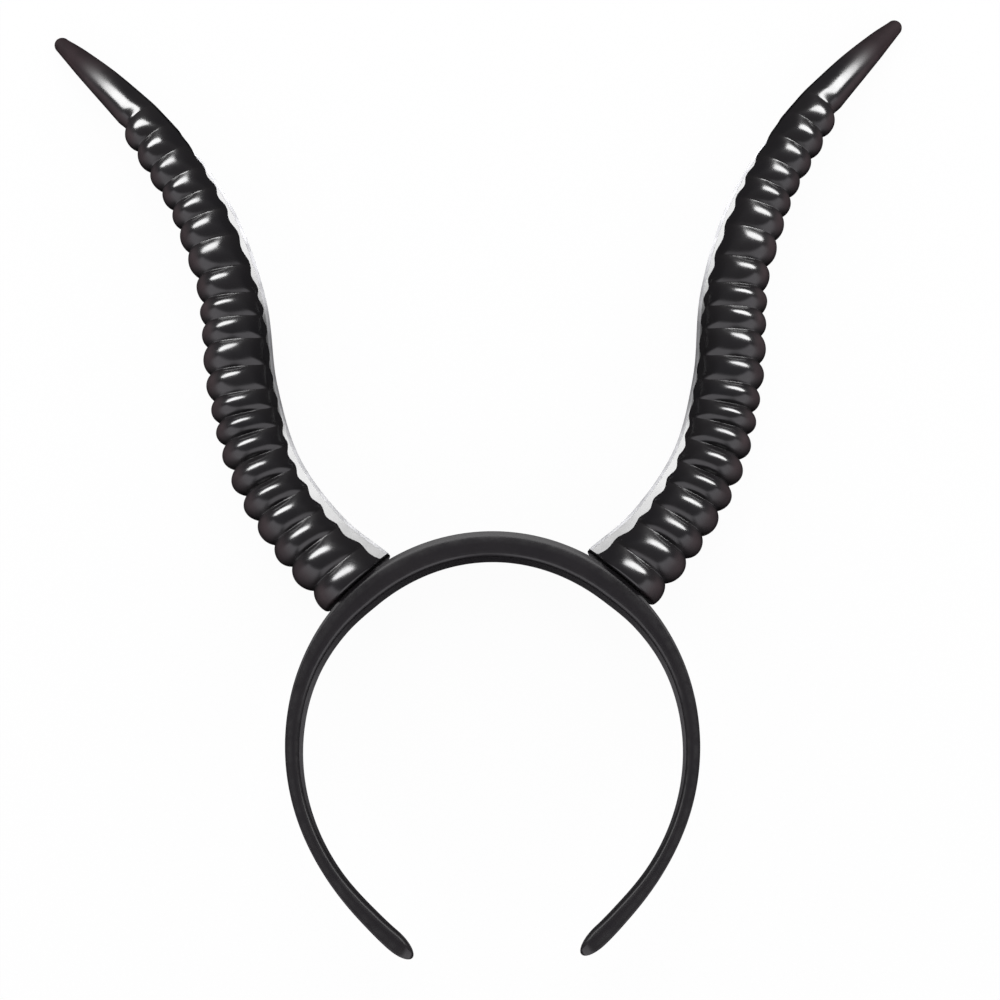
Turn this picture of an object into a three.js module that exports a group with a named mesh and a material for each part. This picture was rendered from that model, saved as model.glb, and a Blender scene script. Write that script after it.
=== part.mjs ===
import * as THREE from 'three';

// Antelope horn headband: a horseshoe band of moulded plastic that carries two hollow ringed horns.
// Millimetres and degrees. The loop's own frame has its centre in the middle of the loop,
// +Y towards the crown, +Z towards the front and +X to the right of someone who looks at the front.

// The headband lies on its back: the horns' feet and tips touch the surface and the band's tips rise.
const LIE_TILT = 8;

// Band, one row for each station from the crown to a tip. The other arm mirrors it.
const BAND_STATIONS = [
  { angle: 0, radius: 62.8, thickness: 7.7, width: 20 },
  { angle: 40, radius: 62.8, thickness: 7.6, width: 20 },
  { angle: 54, radius: 62.85, thickness: 6.4, width: 19.2 },
  { angle: 70, radius: 63.05, thickness: 5.1, width: 18 },
  { angle: 90, radius: 63.65, thickness: 4.3, width: 16.8 },
  { angle: 114, radius: 65.2, thickness: 4.0, width: 15.2 },
  { angle: 130, radius: 66.9, thickness: 4.2, width: 14 },
  { angle: 144, radius: 69.4, thickness: 4.8, width: 13 },
  { angle: 156, radius: 73.3, thickness: 5.3, width: 12 },
];
const BAND_SECTIONS = 62;
const BAND_LAST_ANGLE = 154.5;
const TIP_LENGTH = 5.6;
const TIP_ROUNDS = [25, 50, 72];
const OUTER_CORNER = 2.0;
const INNER_CORNER = 1.3;
const CORNER_SHARE = 0.45;
const CORNER_ARCS = [0, 45, 90];

// Horn centre line in the seat's frame: across is towards the other horn, rise is away from the band
// and front is towards the front. Crest is the radius over a ring, groove the radius between rings,
// and turn is how far a ring's plane has swung from the seat.
const HORN_STATIONS = [
  { along: 0, across: 0.0, rise: 0.0, front: 0.0, crest: 13.4, groove: 11.3, turn: 0 },
  { along: 20, across: -1.8, rise: 19.8, front: 1.7, crest: 12.4, groove: 10.2, turn: 5 },
  { along: 46, across: 1.8, rise: 45.4, front: 4.6, crest: 11.5, groove: 9.0, turn: 18 },
  { along: 73, across: 13.0, rise: 69.6, front: 8.1, crest: 10.8, groove: 9.0, turn: 33 },
  { along: 100, across: 28.4, rise: 91.3, front: 11.6, crest: 10.5, groove: 8.7, turn: 35 },
  { along: 127, across: 39.0, rise: 116.0, front: 13.4, crest: 9.4, groove: 7.7, turn: 21 },
  { along: 154, across: 43.8, rise: 142.6, front: 14.6, crest: 7.9, groove: 6.1, turn: 8 },
  { along: 161, across: 44.5, rise: 149.6, front: 14.6, crest: 7.4, groove: 5.5, turn: 4 },
  { along: 168, across: 45.2, rise: 156.5, front: 14.5, crest: 5.8, groove: 5.6, turn: 1 },
  { along: 182, across: 44.7, rise: 170.5, front: 14.1, crest: 4.8, groove: 4.8, turn: -3 },
  { along: 196, across: 43.5, rise: 184.5, front: 13.5, crest: 3.3, groove: 3.3, turn: -5 },
  { along: 202.5, across: 42.8, rise: 190.9, front: 13.2, crest: 2.4, groove: 2.4, turn: -6 },
];
const HORN_LENGTH = HORN_STATIONS.at(-1).along;
const HORN_TIP_ROUNDS = [30, 60];

// Where a horn sits on the band, as an angle from the crown, and the room left for its glue.
const SEAT_ANGLE = 40.5;
const SEAT_GAP = 0.3;
const HORNS = [
  { name: 'horn_left', mirror: 1 },
  { name: 'horn_right', mirror: -1 },
];

// Distance from one ring to the next, from the foot upwards.
const RING_SPACING = [
  { along: 3, pitch: 11.3 },
  { along: 14, pitch: 8.1 },
  { along: 46, pitch: 8.1 },
  { along: 61, pitch: 6.4 },
  { along: 76, pitch: 7.5 },
  { along: 91, pitch: 7.6 },
  { along: 106, pitch: 9.3 },
  { along: 119, pitch: 8.2 },
  { along: 133, pitch: 7.0 },
  { along: 147, pitch: 7.6 },
];
const FIRST_RING = 3.2;
const LAST_RING = 162;
const GROOVE_PHASE = 0.5;
const RING_ROUNDNESS = 0.75;
const RING_QUARTERS = 4;

// Share of a ring's height that is lost where it faces the other horn, and how narrow that side is.
const RING_FADE = 0.7;
const RING_FADE_POWER = 3;

// Hollow inside a horn, and the floor with a vent that closes its foot.
const HORN_WALL = 1.6;
const HOLLOW_END = 172;
const HOLLOW_STEPS = 12;
const FOOT_FLOOR = 2;
const VENT_RADIUS = 4;

// Fineness of the horn's skin.
const HORN_SIDES = 16;
const TIP_SPACING = 6;

const bandPlastic = new THREE.MeshStandardMaterial({ color: 0x1b1a1c, roughness: 0.45, metalness: 0 });
const hornPlastic = new THREE.MeshStandardMaterial({ color: 0x100f11, roughness: 0.12, metalness: 0 });

const rad = THREE.MathUtils.degToRad;

// A smooth reading of one column of a table: cubic pieces whose slopes come from the rows around.
function readTable(rows, key, column, at) {
  const last = rows.length - 1;
  const found = rows.findIndex((row) => row[key] >= at);
  const high = found < 0 ? last : Math.max(found, 1);
  const low = high - 1;
  const slope = (index) => {
    const before = rows[Math.max(index - 1, 0)];
    const after = rows[Math.min(index + 1, last)];
    return (after[column] - before[column]) / (after[key] - before[key]);
  };
  const span = rows[high][key] - rows[low][key];
  const t = THREE.MathUtils.clamp((at - rows[low][key]) / span, 0, 1);
  const fromLow = rows[low][column] * (1 + 2 * t) * (1 - t) ** 2 + slope(low) * span * t * (1 - t) ** 2;
  const fromHigh = rows[high][column] * t ** 2 * (3 - 2 * t) - slope(high) * span * t ** 2 * (1 - t);
  return fromLow + fromHigh;
}

// A closed surface over a row of rings of points. Each ring has the same number of points, and
// a single point closes an end.
function skin(rings, flip) {
  const positions = [];
  const starts = [];
  for (const ring of rings) {
    starts.push(positions.length / 3);
    for (const point of ring) {
      positions.push(point.x, point.y, point.z);
    }
  }
  const faces = [];
  const addFace = (a, b, c) => faces.push(...(flip ? [a, c, b] : [a, b, c]));
  for (let i = 0; i + 1 < rings.length; i += 1) {
    const sides = Math.max(rings[i].length, rings[i + 1].length);
    const corner = (ring, k) => starts[ring] + (rings[ring].length > 1 ? k % sides : 0);
    for (let k = 0; k < sides; k += 1) {
      if (rings[i].length > 1) {
        addFace(corner(i, k), corner(i, k + 1), corner(i + 1, k));
      }
      if (rings[i + 1].length > 1) {
        addFace(corner(i, k + 1), corner(i + 1, k + 1), corner(i + 1, k));
      }
    }
  }
  const geometry = new THREE.BufferGeometry();
  geometry.setAttribute('position', new THREE.Float32BufferAttribute(positions, 3));
  geometry.setIndex(faces);
  geometry.computeVertexNormals();
  return geometry;
}

// Rounded oblong outline of the band: x runs outwards from the inner face and y to the front.
function bandOutline(thickness, width) {
  const outer = Math.min(OUTER_CORNER, CORNER_SHARE * thickness);
  const inner = Math.min(INNER_CORNER, CORNER_SHARE * thickness);
  const corners = [
    { x: thickness - outer, y: width / 2 - outer, radius: outer, from: 0 },
    { x: inner, y: width / 2 - inner, radius: inner, from: 90 },
    { x: inner, y: inner - width / 2, radius: inner, from: 180 },
    { x: thickness - outer, y: outer - width / 2, radius: outer, from: 270 },
  ];
  return corners.flatMap(({ x, y, radius, from }) => CORNER_ARCS.map((arc) => {
    const angle = rad(from + arc);
    return { x: x + radius * Math.cos(angle), y: y + radius * Math.sin(angle) };
  }));
}

// One section of the band, set at its angle round the loop. Shrink and reach round off a tip.
function bandSection(angle, shrink = 1, reach = 0) {
  const read = (column) => readTable(BAND_STATIONS, 'angle', column, Math.abs(angle));
  const thickness = read('thickness');
  const middle = read('radius') - thickness / 2;
  const outwards = new THREE.Vector3(Math.sin(rad(angle)), Math.cos(rad(angle)), 0);
  const onwards = new THREE.Vector3(outwards.y, -outwards.x, 0).multiplyScalar(Math.sign(angle) * reach);
  return bandOutline(thickness, read('width')).map(({ x, y }) => {
    const point = outwards.clone().multiplyScalar(middle + (x - thickness / 2) * shrink);
    return point.add(onwards).setZ(y * shrink);
  });
}

// Rounded end of an arm: sections that shrink on a quarter ellipse, then one closing point.
function bandTip(angle) {
  const rounds = TIP_ROUNDS.map((arc) => (
    bandSection(angle, Math.cos(rad(arc)), TIP_LENGTH * Math.sin(rad(arc)))
  ));
  const [first] = bandSection(angle, 0, TIP_LENGTH);
  return [...rounds, [first]];
}

function bandGeometry() {
  const step = (2 * BAND_LAST_ANGLE) / (BAND_SECTIONS - 1);
  const sections = Array.from({ length: BAND_SECTIONS }, (_, k) => (
    bandSection(k * step - BAND_LAST_ANGLE)
  ));
  const rings = [
    ...bandTip(-BAND_LAST_ANGLE).reverse(),
    ...sections,
    ...bandTip(BAND_LAST_ANGLE),
  ];
  return skin(rings, false);
}

// Crests of the rings, stepped off along the horn.
function ringCrests() {
  const crests = [FIRST_RING];
  for (;;) {
    const last = crests[crests.length - 1];
    const next = last + readTable(RING_SPACING, 'along', 'pitch', last);
    if (next > LAST_RING) {
      return crests;
    }
    crests.push(next);
  }
}

// Height of the ringed surface between a groove, 0, and a crest, 1: round crests and narrow grooves.
function ringHeight(along, crests) {
  const above = crests.findIndex((crest) => crest >= along);
  if (above === 0) {
    return 1;
  }
  const low = above < 0 ? crests.length - 1 : above - 1;
  const pitch = above < 0 ? crests[low] - crests[low - 1] : crests[above] - crests[low];
  const past = (along - crests[low]) / pitch;
  const phase = above < 0 ? Math.min(past, GROOVE_PHASE) : past;
  return Math.abs(Math.cos(Math.PI * phase)) ** RING_ROUNDNESS;
}

// Centre, side vector and front vector of the horn at a distance from its foot.
function hornFrame(along) {
  const read = (column) => readTable(HORN_STATIONS, 'along', column, along);
  const turn = rad(read('turn'));
  return {
    centre: new THREE.Vector3(read('across'), read('rise'), read('front')),
    side: new THREE.Vector3(Math.cos(turn), -Math.sin(turn), 0),
    front: new THREE.Vector3(0, 0, 1),
    onwards: new THREE.Vector3(Math.sin(turn), Math.cos(turn), 0),
  };
}

// A ring of points round the horn: radiusAt gives the radius at an angle from the side vector.
function hornRing({ centre, side, front }, radiusAt) {
  return Array.from({ length: HORN_SIDES }, (_, k) => {
    const angle = (2 * Math.PI * k) / HORN_SIDES;
    const radius = radiusAt(angle);
    const point = centre.clone().addScaledVector(side, radius * Math.cos(angle));
    return point.addScaledVector(front, radius * Math.sin(angle));
  });
}

// Stations of the outer skin: four to a ring, then wider steps over the smooth tip.
function skinStations(crests) {
  const stations = [0];
  crests.forEach((crest, index) => {
    const next = crests[index + 1] ?? crest + (crest - crests[index - 1]);
    const quarters = crests[index + 1] ? RING_QUARTERS : RING_QUARTERS / 2 + 1;
    for (let k = 0; k < quarters; k += 1) {
      stations.push(crest + ((next - crest) * k) / RING_QUARTERS);
    }
  });
  for (let at = stations[stations.length - 1] + TIP_SPACING; at < HORN_LENGTH; at += TIP_SPACING) {
    stations.push(at);
  }
  return stations;
}

// Outer skin from foot to tip. Rings fade on the side that faces the other horn.
function hornSkin() {
  const crests = ringCrests();
  const rings = skinStations(crests).map((along) => {
    const crest = readTable(HORN_STATIONS, 'along', 'crest', along);
    const groove = readTable(HORN_STATIONS, 'along', 'groove', along);
    const depth = (crest - groove) * (1 - ringHeight(along, crests));
    return hornRing(hornFrame(along), (angle) => {
      const inwards = ((1 + Math.cos(angle)) / 2) ** RING_FADE_POWER;
      return crest - depth * (1 - RING_FADE * inwards);
    });
  });
  const end = hornFrame(HORN_LENGTH);
  const radius = readTable(HORN_STATIONS, 'along', 'groove', HORN_LENGTH);
  const tip = [0, ...HORN_TIP_ROUNDS].map((arc) => {
    const centre = end.centre.clone().addScaledVector(end.onwards, radius * Math.sin(rad(arc)));
    return hornRing({ ...end, centre }, () => radius * Math.cos(rad(arc)));
  });
  return [...rings, ...tip, [end.centre.clone().addScaledVector(end.onwards, radius)]];
}

// Smooth hollow from its closed end back to the floor of the foot, then the vent through the floor.
function hornHollow() {
  const rings = [[hornFrame(HOLLOW_END).centre]];
  for (let k = 1; k <= HOLLOW_STEPS; k += 1) {
    const along = THREE.MathUtils.lerp(HOLLOW_END, FOOT_FLOOR, k / HOLLOW_STEPS);
    const radius = readTable(HORN_STATIONS, 'along', 'groove', along) - HORN_WALL;
    rings.push(hornRing(hornFrame(along), () => radius));
  }
  const vent = [FOOT_FLOOR, 0].map((along) => hornRing(hornFrame(along), () => VENT_RADIUS));
  return [...rings, ...vent];
}

function hornGeometry(mirror) {
  const rings = [...hornHollow(), ...hornSkin()];
  for (const ring of rings) {
    for (const point of ring) {
      point.x *= mirror;
    }
  }
  return skin(rings, mirror > 0);
}

const loop = new THREE.Group();
const band = new THREE.Mesh(bandGeometry(), bandPlastic);
band.name = 'headband';
loop.add(band);

for (const { name, mirror } of HORNS) {
  const horn = new THREE.Mesh(hornGeometry(mirror), hornPlastic.clone());
  horn.name = name;
  horn.position.y = readTable(BAND_STATIONS, 'angle', 'radius', SEAT_ANGLE) + SEAT_GAP;
  const seat = new THREE.Group();
  seat.rotation.z = mirror * rad(SEAT_ANGLE);
  seat.add(horn);
  loop.add(seat);
}

loop.rotation.x = rad(-LIE_TILT);

// The origin is under the middle of the whole piece, on the surface that it lies on.
const hornHeadband = new THREE.Group();
hornHeadband.add(loop);
hornHeadband.updateMatrixWorld(true);
const box = new THREE.Box3().setFromObject(hornHeadband, true);
const middle = box.getCenter(new THREE.Vector3());
loop.position.set(-middle.x, -middle.y, -box.min.z);

export default hornHeadband;
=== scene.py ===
"""Looks of an antelope horn headband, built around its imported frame.

A horseshoe band of satin black plastic carries two hollow, glossy, ringed horns. The piece lies on
its back on a pale floor. Shapes are worked out in millimetres in the loop's own frame, with its
centre in the middle of the loop, +Y towards the crown and +Z towards the front, and are then laid
down in the frame's metres.
"""

import logging
from dataclasses import dataclass
from enum import Enum

import bpy
import numpy as np
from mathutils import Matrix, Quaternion, Vector


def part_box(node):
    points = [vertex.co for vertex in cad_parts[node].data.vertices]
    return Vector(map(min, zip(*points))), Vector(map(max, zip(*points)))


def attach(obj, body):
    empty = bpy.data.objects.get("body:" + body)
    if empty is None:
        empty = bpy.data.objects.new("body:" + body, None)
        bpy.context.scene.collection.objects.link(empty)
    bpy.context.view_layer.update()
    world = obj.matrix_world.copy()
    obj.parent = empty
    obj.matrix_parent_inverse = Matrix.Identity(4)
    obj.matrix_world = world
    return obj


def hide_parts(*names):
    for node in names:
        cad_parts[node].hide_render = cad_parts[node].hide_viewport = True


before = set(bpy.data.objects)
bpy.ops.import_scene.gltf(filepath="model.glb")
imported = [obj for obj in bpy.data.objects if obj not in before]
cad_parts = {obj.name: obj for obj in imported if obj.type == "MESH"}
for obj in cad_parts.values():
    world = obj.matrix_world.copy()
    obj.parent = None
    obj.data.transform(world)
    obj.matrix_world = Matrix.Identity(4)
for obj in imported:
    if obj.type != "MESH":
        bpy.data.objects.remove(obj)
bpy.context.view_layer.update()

Array = np.ndarray
Span = tuple[float, float]
Colour = tuple[float, float, float]
Socket = bpy.types.NodeSocket
log = logging.getLogger("horn_headband")

MM = 0.001
LIE_TILT = 8.0
BODY = "root"
FULL_TURN = 2 * np.pi
HALF_TURN = np.pi
QUARTER_TURN = np.pi / 2
UP = np.array([0.0, 0.0, 1.0])
NOISE_RANGE: Span = (0.3, 0.7)
UNIT_RANGE: Span = (0.0, 1.0)


class Side(Enum):
    """Which horn: the sign mirrors the left horn across the loop's middle."""

    LEFT = 1
    RIGHT = -1


@dataclass(frozen=True)
class Table:
    """Short table with named columns, read smoothly anywhere along its first column."""

    columns: tuple[str, ...]
    rows: tuple[tuple[float, ...], ...]

    def places(self) -> Array:
        """The first column, along which the others are read."""
        return np.array(self.rows)[:, 0]

    def read(self, column: str, at: Array) -> Array:
        """Read one column with cubic pieces whose slopes come from the rows around.

        Args:
            column: Name of the column.
            at: Places along the first column.

        Returns:
            The column's value at each place, held at the end rows outside the table.
        """
        key = self.places()
        value = np.array(self.rows)[:, self.columns.index(column)]
        index = np.arange(len(key))
        before, after = np.maximum(index - 1, 0), np.minimum(index + 1, len(key) - 1)
        slope = (value[after] - value[before]) / (key[after] - key[before])
        high = np.clip(np.searchsorted(key, at), 1, len(key) - 1)
        low = high - 1
        span = key[high] - key[low]
        t = np.clip((at - key[low]) / span, 0, 1)
        from_low = value[low] * (1 + 2 * t) + slope[low] * span * t
        from_high = value[high] * (3 - 2 * t) - slope[high] * span * (1 - t)
        return from_low * (1 - t) ** 2 + from_high * t**2


def smooth_step(low: Array | float, high: Array | float, at: Array) -> Array:
    """Rise from 0 at low to 1 at high with level ends; low may lie above high.

    Args:
        low: Where the rise starts.
        high: Where it ends.
        at: Places to read.

    Returns:
        The cubic 3t^2 - 2t^3 of the clamped share t of the way.
    """
    t = np.clip((at - low) / (high - low), 0, 1)
    return t * t * (3 - 2 * t)


@dataclass(frozen=True)
class Lie:
    """How the loop lies: tilted back about its own X axis, with its centre where the frame has it."""

    centre: Array
    tilt: float

    @staticmethod
    def turned(points: Array, tilt: float) -> Array:
        """Turn points back about X: y' = y cos + z sin and z' = z cos - y sin.

        Args:
            points: Places in the loop's frame, last axis x, y, z.
            tilt: Degrees by which the crown sinks.

        Returns:
            The turned places.
        """
        cos, sin = np.cos(np.radians(tilt)), np.sin(np.radians(tilt))
        x, y, z = np.moveaxis(points, -1, 0)
        return np.stack([x, y * cos + z * sin, z * cos - y * sin], -1)

    @classmethod
    def from_frame(cls, band: "Band", tilt: float) -> "Lie":
        """Find the loop's centre: the turned band's crown lies at the same place as the frame's.

        Args:
            band: The band whose box is compared.
            tilt: Degrees by which the crown sinks.

        Returns:
            The lie that puts the band where the frame has it.
        """
        rings, _ = band.surface()
        points = cls.turned(rings.reshape(-1, 3), tilt) * MM
        low, high = (np.array(corner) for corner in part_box(band.node))
        middle = (low + high - points.min(0) - points.max(0)) / 2
        top = high - points.max(0)
        back = low - points.min(0)
        return cls(centre=np.array([middle[0], top[1], back[2]]), tilt=tilt)

    def place(self, points: Array) -> Array:
        """Lay points of the loop's frame, in millimetres, down in the frame's metres."""
        return self.turned(points, self.tilt) * MM + self.centre


def ring_quads(rows: int, columns: int) -> Array:
    """Quads that join each pair of neighbours on two neighbouring rings.

    Args:
        rows: Number of rings.
        columns: Number of points on each.

    Returns:
        Corner numbers of shape (quads, 4), with the points counted ring by ring.
    """
    row, column = np.meshgrid(np.arange(rows - 1), np.arange(columns), indexing="ij")
    beside = (column + 1) % columns
    here, above = row * columns, (row + 1) * columns
    corners = [here + column, here + beside, above + beside, above + column]
    return np.stack(corners, -1).reshape(-1, 4)


def smooth_mesh(name: str, points: Array, faces: list[list[int]]) -> bpy.types.Mesh:
    """Make a smooth shaded mesh.

    Args:
        name: Mesh name.
        points: Places in metres, shape (points, 3).
        faces: Corner numbers of each face.

    Returns:
        The mesh.
    """
    mesh = bpy.data.meshes.new(name)
    mesh.from_pydata(points.tolist(), [], faces)
    mesh.polygons.foreach_set("use_smooth", np.ones(len(mesh.polygons), bool))
    mesh.update()
    return mesh


def tube_mesh(name: str, rings: Array, poles: Array) -> bpy.types.Mesh:
    """Close a grid of rings with a point at each end and make it a mesh.

    Quads join the rings, and a fan of triangles joins each end ring to its pole. The signed volume
    says whether the faces have to be turned round.

    Args:
        name: Mesh name.
        rings: Points as rows of rings, shape (rows, columns, 3).
        poles: First and last closing points, shape (2, 3).

    Returns:
        A smooth shaded mesh whose faces point outwards.
    """
    rows, columns, _ = rings.shape
    quads = ring_quads(rows, columns)
    here = np.arange(columns)
    there = (here + 1) % columns
    first, last = rows * columns, rows * columns + 1
    end = (rows - 1) * columns
    first_fan = np.stack([there, here, np.full(columns, first)], -1)
    last_fan = np.stack([end + here, end + there, np.full(columns, last)], -1)
    fans = np.concatenate([first_fan, last_fan])
    points = np.concatenate([rings.reshape(-1, 3), poles])
    triangles = np.concatenate([quads[:, [0, 1, 2]], quads[:, [0, 2, 3]], fans])
    a, b, c = (points[triangles[:, k]] for k in range(3))
    if np.einsum("ij,ij->", a, np.cross(b, c)) < 0:
        quads, fans = quads[:, ::-1], fans[:, ::-1]
    return smooth_mesh(name, points, quads.tolist() + fans.tolist())


def add_attribute(mesh: bpy.types.Mesh, name: str, values: Array) -> None:
    """Store a number for each point of a tube mesh's rings; its poles take the end rings' means."""
    filled = np.concatenate([values.ravel(), [values[0].mean(), values[-1].mean()]])
    mesh.attributes.new(name, "FLOAT", "POINT").data.foreach_set("value", filled.astype(np.float32))


class NodePen:
    """Writes the nodes and links of one tree."""

    def __init__(self, tree: bpy.types.NodeTree) -> None:
        """Take up the node tree of a material or a world."""
        self.tree = tree

    def node(self, kind: str, **settings: object) -> bpy.types.Node:
        """Add a node and set its options and unlinked inputs.

        Args:
            kind: Node type.
            **settings: Options by name, or inputs by name with spaces as underscores.

        Returns:
            The new node.
        """
        made = self.tree.nodes.new(kind)
        for key, value in settings.items():
            if hasattr(made, key):
                setattr(made, key, value)
            else:
                made.inputs[key.replace("_", " ")].default_value = value
        return made

    def link(self, source: Socket, node: bpy.types.Node, target: str | int) -> None:
        """Join an output to a node's input, which is given by its name or number."""
        self.tree.links.new(source, node.inputs[target])

    def math(self, operation: str, first: Socket, second: Socket | float = 0.0) -> Socket:
        """Work on one number or two.

        Args:
            operation: Math node operation.
            first: First number.
            second: Second number, an output or a plain value.

        Returns:
            The result.
        """
        made = self.node("ShaderNodeMath", operation=operation)
        self.link(first, made, 0)
        if isinstance(second, Socket):
            self.link(second, made, 1)
        else:
            made.inputs[1].default_value = second
        return made.outputs["Value"]

    def dot(self, first: Socket, second: Array) -> Socket:
        """Part of a vector along a fixed direction.

        Args:
            first: The vector.
            second: The fixed direction.

        Returns:
            Their dot product.
        """
        made = self.node("ShaderNodeVectorMath", operation="DOT_PRODUCT")
        self.link(first, made, 0)
        made.inputs[1].default_value = second
        return made.outputs["Value"]

    def remap(self, factor: Socket, source: Span, target: Span, smooth: bool = False) -> Socket:
        """Map one span of values on to another and hold the ends.

        Args:
            factor: Value to map.
            source: Span that it comes from.
            target: Span that it goes to.
            smooth: Whether the way between has level ends.

        Returns:
            The mapped value.
        """
        made = self.node("ShaderNodeMapRange", From_Min=source[0], From_Max=source[1])
        made.inputs["To Min"].default_value, made.inputs["To Max"].default_value = target
        if smooth:
            made.interpolation_type = "SMOOTHSTEP"
        self.link(factor, made, "Value")
        return made.outputs["Result"]


@dataclass(frozen=True)
class Noise:
    """Noise on Object coordinates, its usual range mapped on to a span of values.

    The scale is in cells for a metre, and each finer octave keeps a share of the one before.
    """

    scale: float
    octaves: float
    keep: float
    span: Span = UNIT_RANGE


class PaintPen(NodePen):
    """Writes one material around its Principled shader."""

    MIX_COLOURS = (6, 7)
    MIX_RESULT = 2

    def __init__(self, name: str) -> None:
        """Start a material with a bare Principled shader.

        Args:
            name: Material name.
        """
        self.material = bpy.data.materials.new(name)
        self.material.use_nodes = True
        super().__init__(self.material.node_tree)
        self.shader = self.tree.nodes["Principled BSDF"]

    def noise(self, noise: Noise) -> Socket:
        """Write a noise.

        Args:
            noise: How coarse and how rough it is, and the values for its low and its high end.

        Returns:
            The mapped noise.
        """
        place = self.node("ShaderNodeTexCoord")
        settings = {"Scale": noise.scale, "Detail": noise.octaves, "Roughness": noise.keep}
        made = self.node("ShaderNodeTexNoise", **settings)
        self.link(place.outputs["Object"], made, "Vector")
        return self.remap(made.outputs["Fac"], NOISE_RANGE, noise.span)

    def blend(self, factor: Socket, colours: tuple[Socket | Colour, Socket | Colour]) -> Socket:
        """Mix two colours, each a plain colour or a socket.

        Args:
            factor: Share of the second colour.
            colours: The two colours.

        Returns:
            The mixed colour.
        """
        made = self.node("ShaderNodeMix", data_type="RGBA", clamp_factor=True)
        self.link(factor, made, 0)
        for index, colour in zip(self.MIX_COLOURS, colours):
            if isinstance(colour, Socket):
                self.link(colour, made, index)
            else:
                made.inputs[index].default_value = (*colour, 1)
        return made.outputs[self.MIX_RESULT]

    def attribute(self, name: str) -> Socket:
        """A number stored on the mesh under a name."""
        return self.node("ShaderNodeAttribute", attribute_name=name).outputs["Fac"]

    def bump(self, heights: list[tuple[Noise, float]]) -> None:
        """Chain bumps into the shader's normal.

        Args:
            heights: Noises with how deep each is, in millimetres.
        """
        before = None
        for noise, depth in heights:
            made = self.node("ShaderNodeBump", Strength=1.0, Distance=depth * MM)
            self.link(self.noise(noise), made, "Height")
            if before:
                self.link(before.outputs["Normal"], made, "Normal")
            before = made
        self.link(before.outputs["Normal"], self.shader, "Normal")

    def set(self, **values: float | tuple[float, ...]) -> None:
        """Set uniform values on the shader's own inputs, named with spaces as underscores."""
        for name, value in values.items():
            self.shader.inputs[name.replace("_", " ")].default_value = value


@dataclass(frozen=True)
class HornGloss:
    """High gloss black plastic, a little duller in the grooves, with a brown painted reflection on the
    outer side and a brown tint towards the tip's end.
    """

    name: str = "horn_gloss"
    crest_colour: Colour = (0.0046, 0.0044, 0.0052)
    groove_colour: Colour = (0.0058, 0.0052, 0.0056)
    mottle_colour: Colour = (0.0062, 0.0056, 0.0060)
    # Brown of the painted reflection on the outer side and of the tint at the tip's end.
    sheen_and_tint_colour: Colour = (0.0600, 0.0380, 0.0410)
    crest_roughness: float = 0.20
    groove_roughness: float = 0.24
    dull_roughness: float = 0.45
    shine: Span = (0.5, 0.02)
    refraction: float = 1.55
    mottle: Noise = Noise(55.0, 3.0, 0.55)
    sheen_and_tint_noise: Noise = Noise(180.0, 3.0, 0.6, (0.6, 1.1))
    smear: Noise = Noise(180.0, 4.0, 0.6, (0.8, 1.25))
    ripple: Noise = Noise(130.0, 1.0, 0.5, NOISE_RANGE)
    ripple_depth: float = 0.05
    grain: Noise = Noise(2600.0, 2.0, 0.5, NOISE_RANGE)
    grain_depth: float = 0.0016

    def material(self) -> bpy.types.Material:
        """Make the finish: mottled colour, smeared gloss, slow ripples and a trace of grain.

        Returns:
            The material.
        """
        pen = PaintPen(self.name)
        height = pen.attribute("ring_height")
        ground = pen.blend(height, (self.groove_colour, self.crest_colour))
        ground = pen.blend(pen.noise(self.mottle), (ground, self.mottle_colour))
        # Painted reflection: the stored share mixes in a colour that stands in for the outer side's
        # reflection, a brown tint at the tip's end and, on the ledge, a pale painted highlight.
        sheen_and_tint = pen.math("MULTIPLY", pen.attribute("sheen_and_tint"), pen.noise(self.sheen_and_tint_noise))
        pen.link(pen.blend(sheen_and_tint, (ground, self.sheen_and_tint_colour)), pen.shader, "Base Color")
        level = pen.remap(height, UNIT_RANGE, (self.groove_roughness, self.crest_roughness))
        smeared = pen.math("MULTIPLY", level, pen.noise(self.smear))
        dull = pen.attribute("dull")
        rough = pen.math("MULTIPLY", dull, self.dull_roughness)
        pen.link(pen.math("ADD", smeared, rough), pen.shader, "Roughness")
        pen.link(pen.remap(dull, UNIT_RANGE, self.shine), pen.shader, "Specular IOR Level")
        pen.set(IOR=self.refraction)
        pen.bump([(self.ripple, self.ripple_depth), (self.grain, self.grain_depth)])
        return pen.material


@dataclass(frozen=True)
class LedgeGloss(HornGloss):
    """The horns' plastic with a pale painted highlight along the ledge's edge in place of the outer
    side's painted brown reflection.
    """

    name: str = "ledge_gloss"
    # Pale colour of the painted highlight along the ledge's edge.
    sheen_and_tint_colour: Colour = (0.32, 0.32, 0.33)


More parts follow.
